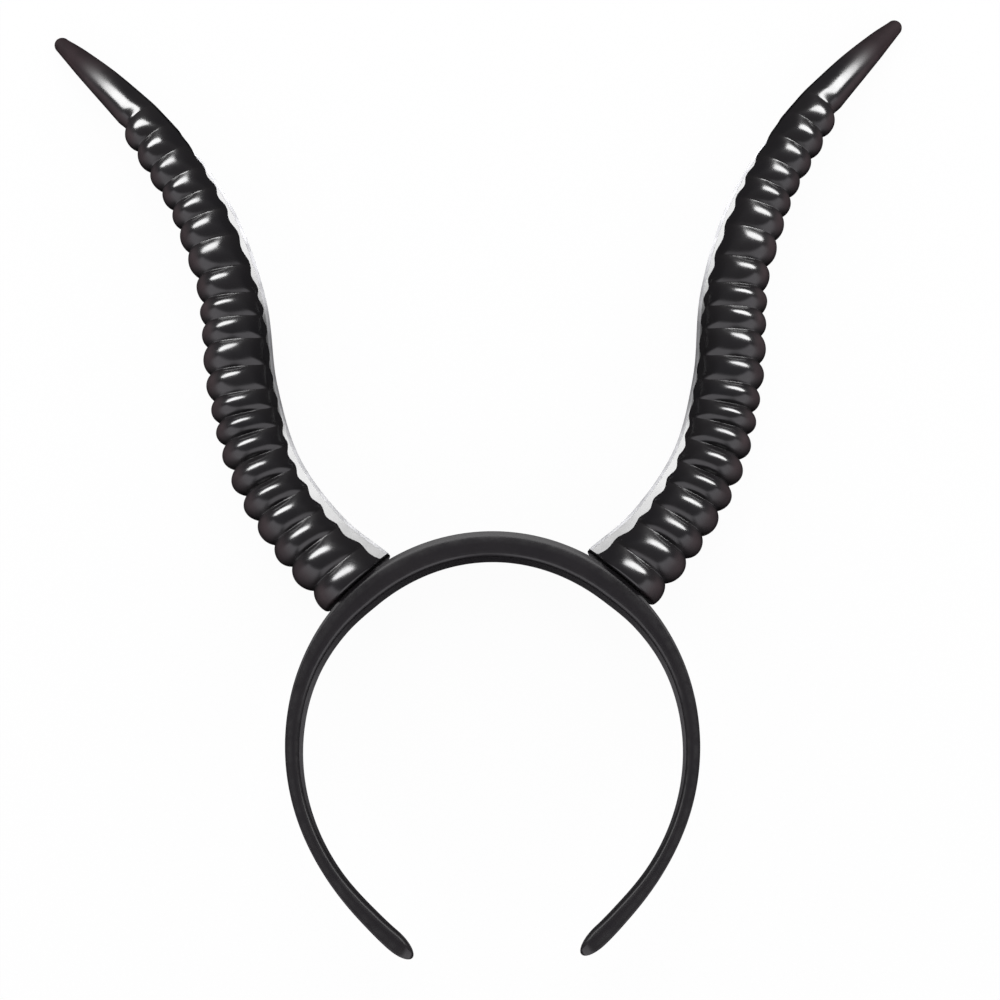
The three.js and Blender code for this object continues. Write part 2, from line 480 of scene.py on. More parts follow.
@dataclass(frozen=True)
class BandSatin:
    """Satin black plastic with a fine moulded grain, painted a little paler along its edges as a patchy
    highlight.
    """

    colour: Colour = (0.0150, 0.0136, 0.0156)
    mottle_colour: Colour = (0.0186, 0.0167, 0.0185)
    # Paler colour of the painted highlight along the edges.
    edge_sheen_colour: Colour = (0.0330, 0.0320, 0.0330)
    refraction: float = 1.45
    mottle: Noise = Noise(70.0, 3.0, 0.55)
    edge_sheen: Noise = Noise(320.0, 4.0, 0.65, (0.1, 0.9))
    roughness: Noise = Noise(320.0, 4.0, 0.6, (0.19, 0.26))
    ripple: Noise = Noise(90.0, 1.0, 0.5, NOISE_RANGE)
    ripple_depth: float = 0.04
    grain: Noise = Noise(2200.0, 3.0, 0.6, NOISE_RANGE)
    grain_depth: float = 0.006

    def material(self) -> bpy.types.Material:
        """Make the finish: mottled colour, a painted highlight along the edges, uneven satin and a fine
        grain.

        Returns:
            The material.
        """
        pen = PaintPen("band_satin")
        ground = pen.blend(pen.noise(self.mottle), (self.colour, self.mottle_colour))
        # Painted highlight: the corners are mixed paler where they would catch the light.
        edge_sheen = pen.math("MULTIPLY", pen.attribute("edge"), pen.noise(self.edge_sheen))
        pen.link(pen.blend(edge_sheen, (ground, self.edge_sheen_colour)), pen.shader, "Base Color")
        pen.link(pen.noise(self.roughness), pen.shader, "Roughness")
        pen.set(IOR=self.refraction)
        pen.bump([(self.ripple, self.ripple_depth), (self.grain, self.grain_depth)])
        return pen.material


@dataclass(frozen=True)
class FloorPaper:
    """Pale seamless paper with a faint tooth, lit from behind so that it shows hardly any shadow."""

    colour: Colour = (0.040, 0.040, 0.040)
    shade: Colour = (0.034, 0.034, 0.035)
    glow_colour: Colour = (1.0, 1.0, 1.0)
    glow: float = 0.96
    roughness: float = 0.9
    shine: float = 0.0
    tooth: Noise = Noise(900.0, 2.0, 0.5)

    def material(self) -> bpy.types.Material:
        """Make the finish: two greys mixed by a fine noise over an even glow.

        Returns:
            The material.
        """
        pen = PaintPen("floor_paper")
        pen.link(pen.blend(pen.noise(self.tooth), (self.colour, self.shade)), pen.shader, "Base Color")
        pen.set(Roughness=self.roughness, Specular_IOR_Level=self.shine)
        pen.set(Emission_Color=(*self.glow_colour, 1), Emission_Strength=self.glow)
        return pen.material


def add_piece(
    mesh: bpy.types.Mesh, name: str, material: bpy.types.Material
) -> bpy.types.Object:
    """Put a finished mesh in the scene.

    Args:
        mesh: The piece's mesh, in metres, where it lies.
        name: Piece name.
        material: Its finish.

    Returns:
        The new object, which rides the one body.
    """
    piece = bpy.data.objects.new(name, mesh)
    bpy.context.scene.collection.objects.link(piece)
    mesh.materials.append(material)
    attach(piece, BODY)
    return piece


@dataclass(frozen=True)
class Band:
    """Horseshoe band: a rounded oblong section carried round the loop, with swollen round tips.

    The outer corners are bevelled and the front falls inwards. The roundings say how far each corner
    is cut back, from the front bevel's outer edge round by the inner side to the back bevel's.
    """

    node: str = "headband"
    slot: str = "band_plastic"
    stations: Table = Table(
        ("angle", "radius", "thickness", "width"),
        (
            (0, 62.8, 7.7, 20),
            (40, 62.8, 7.6, 20),
            (54, 62.85, 6.4, 19.2),
            (70, 63.05, 5.1, 18),
            (90, 63.65, 4.3, 16.8),
            (114, 65.2, 4.0, 15.2),
            (130, 66.9, 4.2, 14),
            (144, 69.5, 5.1, 12.4),
            (156, 73.3, 6.0, 8.6),
        ),
    )
    last_angle: float = 152.8
    tip_length: float = 8.0
    tip_flare: float = 14.0
    bevel_share: float = 0.22
    bevel_tilt: float = 23.0
    face_tilt: float = 5.0
    rounding: tuple[float, ...] = (0.15, 2.2, 1.8, 1.1, 0.7, 0.15)
    cut_share: float = 0.45
    sections: int = 420
    tip_rounds: int = 14
    corner_points: int = 10
    side_points: int = 6

    def outline(self, thickness: Array, width: Array) -> Array:
        """Section of the band at each place, its corners rounded by parabolas.

        Args:
            thickness: Size away from the loop's centre, one for each section.
            width: Size from back to front, one for each section.

        Returns:
            Points of shape (sections, points, 2), outwards from the section's middle and to the front.
        """
        out, front = thickness / 2, width / 2
        bevel = self.bevel_share * thickness
        drop = bevel * np.tan(np.radians(self.bevel_tilt))
        low = front - (thickness - bevel) * np.tan(np.radians(self.face_tilt))
        x = np.stack([out, out - bevel, -out, -out, out - bevel, out], 1)
        y = np.stack([front - drop, front, low, -front, -front, drop - front], 1)
        corner = np.stack([x, y], -1)
        ends = []
        for step in (1, -1):
            side = np.roll(corner, step, 1) - corner
            length = np.linalg.norm(side, axis=-1, keepdims=True)
            cut = np.minimum(np.array(self.rounding)[:, None], self.cut_share * length)
            ends.append((corner + side / length * cut)[:, :, None])
        begin, finish = ends
        t = np.linspace(0, 1, self.corner_points)[:, None]
        bend = (1 - t) ** 2 * begin + 2 * t * (1 - t) * corner[:, :, None] + t**2 * finish
        along = np.linspace(0, 1, self.side_points + 2)[1:-1, None]
        flat = finish + along * (np.roll(begin, -1, 1) - finish)
        return np.concatenate([bend, flat], 2).reshape(len(thickness), -1, 2)

    def edges(self) -> Array:
        """How far each point of a section has turned into a corner: 4t(1 - t), and 0 on a side.

        Returns:
            Shares from 0 to 1, in the outline's order.
        """
        t = np.linspace(0, 1, self.corner_points)
        corner = np.concatenate([4 * t * (1 - t), np.zeros(self.side_points)])
        return np.tile(corner, len(self.rounding))

    def rings(self, angle: Array, reach: Array, shrink: Array) -> Array:
        """Sections in the loop's frame, each on the outward direction (sin, cos) of its angle.

        Args:
            angle: Degrees from the crown, one for each section.
            reach: How far it is moved straight on from there, turned outwards by the flare.
            shrink: Share of its size that it keeps.

        Returns:
            Points of shape (sections, points, 3), in millimetres.
        """
        read = {name: self.stations.read(name, np.abs(angle)) for name in self.stations.columns[1:]}
        section = self.outline(read["thickness"], read["width"]) * shrink[:, None, None]
        turn, flare = np.radians(angle), np.radians(self.tip_flare)
        outwards = np.stack([np.sin(turn), np.cos(turn)], -1)
        onwards = np.stack([np.cos(turn), -np.sin(turn)], -1) * (reach * np.cos(flare))[:, None]
        onwards = onwards + outwards * (np.abs(reach) * np.sin(flare))[:, None]
        middle = (read["radius"] - read["thickness"] / 2)[:, None] + section[..., 0]
        flat = outwards[:, None, :] * middle[..., None] + onwards[:, None, :]
        return np.concatenate([flat, section[..., 1:]], -1)

    def surface(self) -> tuple[Array, Array]:
        """The band from one tip to the other; past the last angle it shrinks as a quarter ellipse.

        Returns:
            Rings of shape (rings, points, 3) and the two points that close the tips, in millimetres.
        """
        arc = np.linspace(0, QUARTER_TURN, self.tip_rounds + 2)[1:-1]
        angle = np.linspace(-self.last_angle, self.last_angle, self.sections)
        ends = np.full(self.tip_rounds, self.last_angle)
        still = np.zeros(self.sections)
        reach = np.concatenate([-np.sin(arc[::-1]), still, np.sin(arc)]) * self.tip_length
        shrink = np.concatenate([np.cos(arc[::-1]), still + 1, np.cos(arc)])
        rings = self.rings(np.concatenate([-ends, angle, ends]), reach, shrink)
        arms = np.array([-1.0, 1.0])
        tips = self.rings(arms * self.last_angle, arms * self.tip_length, np.zeros(len(arms)))
        return rings, tips[:, 0]

    def seat_radius(self, angle: float) -> float:
        """Outer radius of the band at an angle, in degrees, from the crown."""
        return float(self.stations.read("radius", np.array([angle]))[0])

    def build(self, lie: Lie, finish: BandSatin) -> bpy.types.Object:
        """Make the band's mesh, lay it down and dress it.

        Args:
            lie: Where the loop lies.
            finish: The band's plastic.

        Returns:
            The band's object.
        """
        rings, tips = self.surface()
        mesh = tube_mesh(self.node, lie.place(rings), lie.place(tips))
        add_attribute(mesh, "edge", np.broadcast_to(self.edges(), rings.shape[:2]))
        piece = add_piece(mesh, f"{self.node}_fine", finish.material())
        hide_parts(self.node)
        return piece


@dataclass(frozen=True)
class HornForm:
    """Shape of a horn in its seat's frame: x towards the other horn, y off the band, z to the front.

    Angles round the horn are 0 on the side of the other horn and a quarter turn at the front. The
    relief is the rings' depth, which fades towards the inner side. The ledge is the smooth
    strip along that side: how wide its face is, how far to the front its edge lies, and by what share
    of a ring its scallops are moved. The cut is the room in the body beneath it.
    """

    path: Table = Table(
        ("along", "across", "rise", "front", "turn"),
        (
            (0, 0.0, 0.0, 0.0, 0),
            (20, -1.8, 19.8, 1.7, 5),
            (46, 1.8, 45.4, 4.6, 18),
            (73, 13.0, 69.6, 8.1, 33),
            (100, 28.4, 91.3, 12.4, 35),
            (127, 39.0, 116.0, 15.6, 21),
            (154, 43.8, 142.6, 18.0, 8),
            (161, 44.5, 149.6, 18.1, 4),
            (168, 45.2, 156.5, 17.8, 1),
            (182, 44.7, 170.5, 16.5, -3),
            (196, 43.5, 184.5, 14.5, -5),
            (202.5, 42.8, 190.9, 13.35, -6),
        ),
    )
    grooves: Table = Table(
        ("along", "radius"),
        (
            (-2.5, 11.5), (7.5, 11.0), (17.3, 10.1), (25.4, 10.1), (33.8, 9.8), (41.7, 9.0),
            (50.0, 8.9), (57.5, 9.1), (64.0, 9.0), (70.6, 9.2), (78.5, 9.0), (87.0, 9.2),
            (94.0, 9.3), (101.2, 8.5), (109.6, 7.9), (119.0, 8.3), (127.4, 7.7), (134.5, 7.0),
            (141.6, 6.9), (149.2, 6.6), (157.5, 6.2), (166.0, 5.3),
        ),
    )
    crests: Table = Table(
        ("along", "radius"),
        (
            (1.5, 13.5), (12.0, 12.7), (21.4, 12.2), (37.5, 11.9), (54.0, 11.4), (67.2, 10.9),
            (82.7, 10.9), (97.3, 10.6), (105.2, 9.9), (114.4, 9.9), (123.2, 9.6), (138.0, 8.3),
            (153.4, 8.1), (161.6, 7.5),
        ),
    )
    inner: Table = Table(
        ("along", "radius"),
        (
            (0, 13.5), (20, 12.1), (46, 11.2), (73, 11.1), (100, 10.6), (127, 9.7), (150, 8.4),
            (160, 7.4), (170, 6.0), (182, 5.0), (190, 4.2), (196, 3.5), (202.5, 2.5),
        ),
    )
    tip: Table = Table(
        ("along", "radius"),
        ((160, 5.8), (170, 5.8), (182, 5.1), (190, 4.3), (196, 3.5), (202.5, 2.5)),
    )
    relief_end: Table = Table(
        ("along", "inwards"),
        ((0, 58), (30, 62), (60, 66), (90, 66), (112, 60), (135, 52), (166, 46)),
    )
    ledge: Table = Table(
        ("along", "width", "level", "lead"),
        (
            (0, 4.6, 4.2, 0.12),
            (12, 4.6, 3.9, 0.12),
            (24, 4.7, 3.2, 0.12),
            (38, 4.5, 2.4, 0.12),
            (48, 4.0, 2.0, 0.12),
            (58, 3.1, 1.4, 0.2),
            (66, 2.9, 1.0, 0.5),
            (84, 2.9, 1.0, 0.5),
            (96, 3.1, 1.6, 0.4),
            (108, 3.5, 1.8, 0.08),
            (120, 3.9, 1.6, 0.05),
            (130, 3.8, 1.3, 0.05),
            (140, 2.9, 1.0, 0.05),
            (150, 1.6, 0.8, 0.05),
            (156, 0.6, 0.8, 0.05),
            (205, 0.0, 0.8, 0.05),
        ),
    )
    ledge_tilt: float = 55.0
    ledge_least: float = 0.1
    ledge_fade: Span = (156.0, 144.0)
    scallop: float = 0.5
    groove_fillet: float = 0.5
    crest_middle: float = 0.50
    crest_skew: float = 0.25
    skew_span: Span = (-10.0, 50.0)
    ring_fullness: float = 0.7
    relief_floor: float = 0.03
    relief_width: float = 76.0
    lean: float = 0.10
    notch_end: float = 4.0
    cut_depth: float = 3.2
    cut_wall: float = 0.6
    cut_span: Span = (3.0, -7.0)
    cut_back: Span = (-30.0, -80.0)
    foot_rim: Span = (0.7, 1.1)

    @property
    def length(self) -> float:
        """Distance along the horn from its foot to where the tip starts to round off."""
        return self.path.rows[-1][0]

    @property
    def ringed_end(self) -> float:
        """Place of the last groove, past which the tip is smooth."""
        return self.grooves.rows[-1][0]

    @staticmethod
    def inwards(angle: Array) -> Array:
        """Degrees towards the inner side: 90 there, 0 at front and back, -90 on the outer side."""
        return 90 - np.degrees(np.abs(angle))

    def between_grooves(self, along: Array) -> tuple[Array, Array]:
        """The grooves below and above each place.

        Args:
            along: Distances from the foot.

        Returns:
            The two grooves' distances from the foot.
        """
        places = self.grooves.places()
        above = np.clip(np.searchsorted(places, along), 1, len(places) - 1)
        return places[above - 1], places[above]

    def off_groove(self, distance: Array) -> Array:
        """Distance u from a groove softened to the root of u^2 + f^2 less f, which fills its crease."""
        return np.sqrt(np.maximum(distance, 0) ** 2 + self.groove_fillet**2) - self.groove_fillet

    def ring_profile(self, along: Array, angle: Array) -> tuple[Array, Array]:
        """Height of the ringed skin between the grooves: 0 in a groove and 1 on a crest.

        From a groove to the crest the height is a power of 1 - (1 - q)^2, with q the softened distance
        from the groove as a share of that to the crest. The crest lies in the middle of a ring on the
        outer side and nearer to its lower groove on the inner side.

        Args:
            along: Distances from the foot, shape (rows, 1).
            angle: Angles round the horn.

        Returns:
            Heights, held at 0 past the last groove, and whether each place lies above its crest.
        """
        low, high = self.between_grooves(along)
        skew = smooth_step(*self.skew_span, self.inwards(angle))
        crest = low + (high - low) * (self.crest_middle - self.crest_skew * skew)
        from_low = self.off_groove(along - low) / self.off_groove(crest - low)
        from_high = self.off_groove(high - along) / self.off_groove(high - crest)
        above = along > crest
        share = np.where(above, from_high, from_low)
        return (1 - (1 - np.clip(share, 0, 1)) ** 2) ** self.ring_fullness, above

    def ringed_radius(self, along: Array, angle: Array) -> Array:
        """Radius with the rings, whose relief fades from the outer side to the inner side.

        With the grooves filled, the radius runs from the crests' on the outer side to the smooth one
        on the inner side. Above its crest the last ring stands on the tip, with a notch at its foot.

        Args:
            along: Distances from the foot, shape (rows, 1).
            angle: Angles round the horn.

        Returns:
            Radii of shape (rows, columns).
        """
        height, above = self.ring_profile(along, angle)
        tables = (self.inner, self.tip, self.crests, self.grooves)
        inner, tip, crest, groove = (table.read("radius", along) for table in tables)
        on_tip = (along > self.grooves.rows[-2][0]) & above
        outer = np.where(on_tip, tip + (crest - tip) * height, crest)
        notch = (tip - groove) * smooth_step(self.ringed_end + self.notch_end, self.ringed_end, along)
        depth = np.where(on_tip, notch, crest - groove)
        plain = inner + (outer - inner) * (1 - np.cos(angle)) / 2
        end = self.relief_end.read("inwards", along)
        share = smooth_step(end, end - self.relief_width, self.inwards(angle))
        relief = self.relief_floor + (1 - self.relief_floor) * share
        return plain - depth * relief * (1 - height)

    def ledge_presence(self, along: Array) -> Array:
        """How much of the ledge there is: 1 up to where it fades and 0 beyond."""
        return smooth_step(*self.ledge_fade, along)

    def body_radius(self, along: Array, angle: Array) -> Array:
        """Radius of the ringed body, cut away beneath the ledge.

        The cut starts where the ledge's plane has the ledge's width. A cosine with one wave for each
        ring makes it start a little farther in or out, so that the rings end in scallops.

        Args:
            along: Distances from the foot, shape (rows, 1).
            angle: Angles round the horn.

        Returns:
            Radii of shape (rows, columns).
        """
        width, level, lead = (self.ledge.read(name, along) for name in ("width", "level", "lead"))
        low, high = self.between_grooves(along)
        wave = np.cos(FULL_TURN * ((along - low) / (high - low) - lead))
        width = np.maximum(width - self.scallop * wave, self.ledge_least)
        front = level + width / np.tan(np.radians(self.ledge_tilt))
        begin = np.degrees(np.arctan2(front, self.inner.read("radius", along) - width))
        degrees = np.degrees(angle)
        before, past = self.cut_span
        cut = smooth_step(begin + before, begin + past, degrees)
        cut = cut * (1 - smooth_step(*self.cut_back, degrees))
        cut = cut * self.ledge_presence(along) * smooth_step(*self.foot_rim, along)
        return self.ringed_radius(along, angle) - self.cut_depth * cut

    def place(self, along: Array, side: Array, front: Array, lift: Array | float = 0.0) -> Array:
        """Points beside the centre line: centre + side (cos, -sin) of the turn + front + lift (sin, cos).

        Args:
            along: Distances from the foot, one for each ring.
            side: Offsets towards the inner side, shape (rings, columns).
            front: Offsets to the front, of the same shape.
            lift: How far each ring is moved on past its place.

        Returns:
            Points of shape (rings, columns, 3).
        """
        read = {name: self.path.read(name, along)[:, None] for name in self.path.columns[1:]}
        turn = np.radians(read["turn"])
        lift = np.reshape(lift, (-1, 1))
        x = read["across"] + side * np.cos(turn) + lift * np.sin(turn)
        y = read["rise"] - side * np.sin(turn) + lift * np.cos(turn)
        return np.stack([x, y, read["front"] + front], -1)


@dataclass(frozen=True)
class Seat:
    """Where a horn stands on the band."""

    side: Side
    band_radius: float
    angle: float = 40.5
    gap: float = 0.3

    def to_loop(self, points: Array) -> Array:
        """Mirror a right horn, lift the foot off the band and turn the seat to its angle.

        Args:
            points: Places in the seat's frame.

        Returns:
            Places in the loop's frame.
        """
        sign = self.side.value
        cos, sin = np.cos(np.radians(self.angle)), np.sin(np.radians(self.angle)) * sign
        x, y, z = np.moveaxis(points, -1, 0)
        x, y = x * sign, y + self.band_radius + self.gap
        return np.stack([x * cos - y * sin, x * sin + y * cos, z], -1)


@dataclass(frozen=True)
class Horn:
    """Hollow ringed horn that stands on the band on a flat foot and curves out to a smooth tip.

    The flank is its outer side, which carries a painted brown reflection, and the limb is the edge of
    that side as seen from the front.
    """

    seat: Seat
    form: HornForm = HornForm()
    slot: str = "horn_plastic"
    wall: float = 1.6
    hollow_end: float = 172.0
    floor: float = 2.0
    vent: float = 4.0
    foot_edge: float = 0.7
    foot_clear: float = 1.2
    ring_rows: int = 20
    tip_step: float = 0.8
    columns: int = 168
    hollow_rows: int = 40
    round_rows: int = 8
    foot_rows: int = 6
    crease_angle: float = 50.0
    # Where and how strongly the painted brown reflection lies on the flank, and the brown tint at the
    # tip's end.
    flank_span: Span = (28.0, 50.0)
    limb_span: Span = (60.0, 86.0)
    limb_loss: float = 0.6
    tip_span: Span = (174.0, 195.0)
    tip_tint: float = 0.18
    flank_sheen: float = 0.24
    flank_dull: float = 0.62

    @property
    def node(self) -> str:
        """Name of the frame's node that this horn stands for."""
        return f"horn_{self.seat.side.name.lower()}"

    def angles(self) -> Array:
        """Angles of the columns round the horn, from minus half a turn up to half a turn."""
        return np.linspace(-HALF_TURN, HALF_TURN, self.columns, endpoint=False)

    def rings(self, along: Array, radius: Array, lift: Array | float = 0.0) -> Array:
        """Rings of points round the centre line, fuller towards the outer side than a circle.

        Args:
            along: Distances from the foot, one for each ring.
            radius: Radii of shape (rings, columns) or (rings, 1).
            lift: How far each ring is moved on past its place.

        Returns:
            Points of shape (rings, columns, 3).
        """
        cos, sin = np.cos(self.angles()), np.sin(self.angles())
        return self.form.place(along, radius * cos, radius * sin * (1 - self.form.lean * cos), lift)

    def stations(self) -> Array:
        """Places of the skin's rows: close at the grooves, wider on the crests, even on the tip.

        Returns:
            Distances from the foot, past its rounded edge.
        """
        share = (1 - np.cos(np.arange(self.ring_rows) / self.ring_rows * HALF_TURN)) / 2
        groove = self.form.grooves.places()
        rows = (groove[:-1, None] + np.diff(groove)[:, None] * share).ravel()
        tip = np.arange(self.form.ringed_end, self.form.length, self.tip_step)
        return np.concatenate([rows[rows > self.foot_edge * self.foot_clear], tip])

    def flank(self) -> Array:
        """How strong the painted reflection on the outer side is: it grows away from the front and falls
        again at the limb.

        Returns:
            Shares from 0 to 1, one for each column.
        """
        outwards = -self.form.inwards(self.angles())
        limb = smooth_step(*self.limb_span, outwards)
        return smooth_step(*self.flank_span, outwards) * (1 - self.limb_loss * limb)

    def sheen_and_dullness(self, along: Array, height: Array) -> dict[str, Array]:
        """Painted reflection on the outer side's crests, a brown tint towards the tip's end, and how dull
        the skin is.

        Args:
            along: Distances from the foot, shape (rows, 1).
            height: Ring heights, shape (rows, columns).

        Returns:
            Shares from 0 to 1 of painted reflection and tint, and of dullness.
        """
        end = smooth_step(*self.tip_span, along)
        side = height * self.flank()
        # Painted reflection on the flank's crests and the tip's brown tint share one colour mix.
        sheen_and_tint = np.maximum(self.flank_sheen * side, self.tip_tint * end)
        return {"sheen_and_tint": sheen_and_tint, "dull": np.maximum(self.flank_dull * side, end)}

    def surface(self) -> tuple[Array, Array, dict[str, Array]]:
        """The whole closed skin, from the hollow's end through the vent and up the outside to the tip.

        The hollow keeps its wall beneath the grooves and beneath the cut for the ledge. Quarter circles
        round the foot's edge and the tip's end.

        Returns:
            Rings in the seat's frame, the two closing points, and the attributes that the finish reads.
        """
        form = self.form
        hollow = np.linspace(self.hollow_end, self.floor, self.hollow_rows + 1)[1:]
        ringed = form.grooves.read("radius", hollow) - self.wall
        cut = form.inner.read("radius", hollow) - form.cut_depth - form.cut_wall
        inside = np.minimum(ringed, cut)[:, None]
        vent_along = np.array([self.floor, self.floor, 0.0, 0.0])
        vent_radius = np.full((len(vent_along), 1), self.vent)

        edge = np.sin(np.linspace(0, QUARTER_TURN, self.foot_rows))
        foot = self.foot_edge * (1 - np.sqrt(1 - edge**2))
        body = self.stations()
        outside = np.concatenate([foot, body])
        pull = np.concatenate([self.foot_edge * (1 - edge), np.zeros(len(body))])
        skin = form.body_radius(outside[:, None], self.angles()) - pull[:, None]

        arc = np.linspace(0, QUARTER_TURN, self.round_rows + 1)[:-1]
        end_radius = form.tip.rows[-1][-1]
        tip_along = np.full(len(arc), form.length)
        parts = [
            self.rings(hollow, inside),
            self.rings(vent_along, vent_radius),
            self.rings(outside, skin),
            self.rings(tip_along, end_radius * np.cos(arc)[:, None], end_radius * np.sin(arc)),
        ]
        ends = np.array([self.hollow_end, form.length])
        poles = self.rings(ends, np.zeros((len(ends), 1)), np.array([0.0, end_radius]))[:, 0]

        on_body, _ = form.ring_profile(outside[:, None], self.angles())
        on_body = np.where(outside[:, None] < form.ringed_end, on_body, 1)
        hidden = np.zeros((len(hollow) + len(vent_along), self.columns))
        tip = np.ones((len(arc), self.columns))
        sheen_and_dullness = self.sheen_and_dullness(outside[:, None], on_body)
        skin_marks = {
            "ring_height": np.concatenate([hidden, on_body, tip]),
            "sheen_and_tint": np.concatenate([hidden, sheen_and_dullness["sheen_and_tint"], tip * self.tip_tint]),
            "dull": np.concatenate([hidden, sheen_and_dullness["dull"], tip]),
        }
        return np.concatenate(parts), poles, skin_marks

    def build(self, lie: Lie, material: bpy.types.Material) -> bpy.types.Object:
        """Make the horn's mesh, seat it on the band, lay it down and dress it.

        Args:
            lie: Where the loop lies.
            material: The horn's plastic.

        Returns:
            The horn's object.
        """
        rings, poles, skin_marks = self.surface()
        rings, poles = (lie.place(self.seat.to_loop(points)) for points in (rings, poles))
        mesh = tube_mesh(self.node, rings, poles)
        mesh.set_sharp_from_angle(angle=float(np.radians(self.crease_angle)))
        for name, values in skin_marks.items():
            add_attribute(mesh, name, values)
        piece = add_piece(mesh, f"{self.node}_fine", material)
        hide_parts(self.node)
        return piece


@dataclass(frozen=True)
class Ledge:
    """Smooth ledge let into a horn's inner side: a flat face, a round edge and a hidden root.

    The cover is how far the face runs on under the rings, the dive is how far the ledge sinks where it
    fades, and the tuck is how far the foot of its limb is drawn in. The root's two points lie far and
    near, the second some way down from the face.
    """

    name: str
    seat: Seat
    start: float = 0.9
    end: float = 156.0
    form: HornForm = HornForm()
    slot: str = "horn_plastic"
    # The last column is the strength of the pale painted highlight along the ledge's edge.
    shade: Table = Table(
        ("along", "dull", "edge_sheen"),
        (
            (0, 0.24, 0.73),
            (18, 0.16, 0.73),
            (36, 0.0, 0.72),
            (52, 0.0, 0.65),
            (64, 0.5, 0.28),
            (88, 0.5, 0.28),
            (102, 0.15, 0.65),
            (116, 0.0, 1.0),
            (156, 0.0, 1.0),
        ),
    )
    row_step: float = 0.5
    cover: float = 1.2
    edge: float = 1.1
    dive: float = 1.6
    tuck_angle: float = 15.0
    tuck: float = 0.35
    root: tuple[float, float, float] = (2.4, 0.2, 0.6)
    face_points: int = 10
    edge_points: int = 7
    limb_points: int = 6
    crease_angle: float = 38.0

    def outline(self, along: Array) -> tuple[Array, Array]:
        """Section of the ledge at each place, as offsets to the inner side and to the front.

        The face is the ledge's plane from under the rings to the horn's inner limit. A parabola turns
        it into the limb, which runs back until it meets the body, and two more points lie inside.

        Args:
            along: Distances from the foot.

        Returns:
            Side and front offsets, both of shape (rows, points).
        """
        form = self.form
        inner = form.inner.read("radius", along)[:, None]
        width, level = (form.ledge.read(name, along)[:, None] for name in ("width", "level"))
        rise = 1 / np.tan(np.radians(form.ledge_tilt))
        start = inner - width - self.cover
        face_side = start + (inner - self.edge - start) * np.linspace(0, 1, self.face_points)
        face_front = level + rise * (inner - face_side)
        t = np.linspace(0, 1, self.edge_points + 1)[1:]
        edge_side = inner - self.edge * (1 - t) ** 2
        edge_front = level + self.edge * (rise * (1 - t) ** 2 - t**2)
        tuck = np.radians(self.tuck_angle)
        low_side, low_front = inner * np.cos(tuck) - self.tuck, -inner * np.sin(tuck)
        t = np.linspace(0, 1, self.limb_points + 1)[1:]
        limb_side = inner + (low_side - inner) * t**2
        limb_front = level - self.edge + (low_front - level + self.edge) * t
        far, near, down = self.root
        root_side = np.concatenate([low_side - far, start - near], 1)
        root_front = np.concatenate([low_front, level + rise * (inner - start) - down], 1)
        side = np.concatenate([face_side, edge_side, limb_side, root_side], 1)
        front = np.concatenate([face_front, edge_front, limb_front, root_front], 1)
        sunk = self.dive * (1 - form.ledge_presence(along))[:, None]
        return side - sunk, front

    def build(self, lie: Lie, material: bpy.types.Material) -> bpy.types.Object:
        """Make the ledge's mesh, seat it with its horn, lay it down and dress it.

        Args:
            lie: Where the loop lies.
            material: The ledge's plastic.

        Returns:
            The ledge's object.
        """
        along = np.arange(self.start, self.end, self.row_step)
        rings = self.form.place(along, *self.outline(along))
        rings = lie.place(self.seat.to_loop(rings))
        mesh = tube_mesh(self.name, rings, rings[[0, -1]].mean(1))
        mesh.set_sharp_from_angle(angle=float(np.radians(self.crease_angle)))
        point = np.arange(rings.shape[1]) - self.face_points
        on_edge = (point >= 0) & (point < self.edge_points)
        dull, edge_sheen = (self.shade.read(name, along)[:, None] for name in ("dull", "edge_sheen"))
        add_attribute(mesh, "ring_height", np.ones(rings.shape[:2]))
        # Pale painted highlight along the ledge's edge, which also dulls it there.
        add_attribute(mesh, "sheen_and_tint", edge_sheen * on_edge)
        add_attribute(mesh, "dull", np.maximum(edge_sheen * on_edge, dull))
        return add_piece(mesh, self.name, material)


def bearing(azimuth: float, elevation: float) -> Array:
    """Direction at an azimuth from +Y towards +X and an elevation above the floor, in degrees."""
    turn, rise = np.radians((azimuth, elevation))
    return np.array([np.sin(turn) * np.cos(rise), np.cos(turn) * np.cos(rise), np.sin(rise)])


class Lit(Enum):
    """What a flagged light falls on."""

    LEFT = "left horn"
    RIGHT = "right horn"
    BAND = "band and floor"
    LEDGES = "ledges"


class Face(Enum):
    """Outline of a soft light's face."""

    OBLONG = "RECTANGLE"
    OVAL = "ELLIPSE"

    @property
    def share(self) -> float:
        """Part of its two sizes' product that the face fills."""
        return np.pi / 4 if self is Face.OVAL else 1.0


@dataclass(frozen=True)
class Softbox:
    """Flat soft light that faces a point; its brightness is that of its face, with 1 a white floor's.

    The azimuth and elevation are those at which it is seen from the point.
    """

    lit: Lit
    aim: tuple[float, float, float]
    azimuth: float
    elevation: float
    distance: float
    size: Span
    brightness: float
    roll: float = 0.0
    face: Face = Face.OBLONG

    def build(self, only: bpy.types.Collection) -> bpy.types.Object:
        """Hang the light: its power is brightness times pi times its area.

        Args:
            only: The objects that it is flagged off from all others to light.

        Returns:
            The light.
        """
        name = f"light {self.azimuth:+.0f} on {self.lit.value}"
        light = bpy.data.lights.new(name, "AREA")
        light.shape = self.face.value
        light.size, light.size_y = self.size
        light.energy = self.brightness * np.pi * self.size[0] * self.size[1] * self.face.share
        away = Vector(bearing(self.azimuth, self.elevation))
        box = bpy.data.objects.new(name, light)
        box.location = Vector(self.aim) + away * self.distance
        box.rotation_mode = "QUATERNION"
        roll = Quaternion(UP, np.radians(self.roll))
        box.rotation_quaternion = (-away).to_track_quat("-Z", "Y") @ roll
        box.visible_camera = False
        box.light_linking.receiver_collection = only
        bpy.context.scene.collection.objects.link(box)
        return box


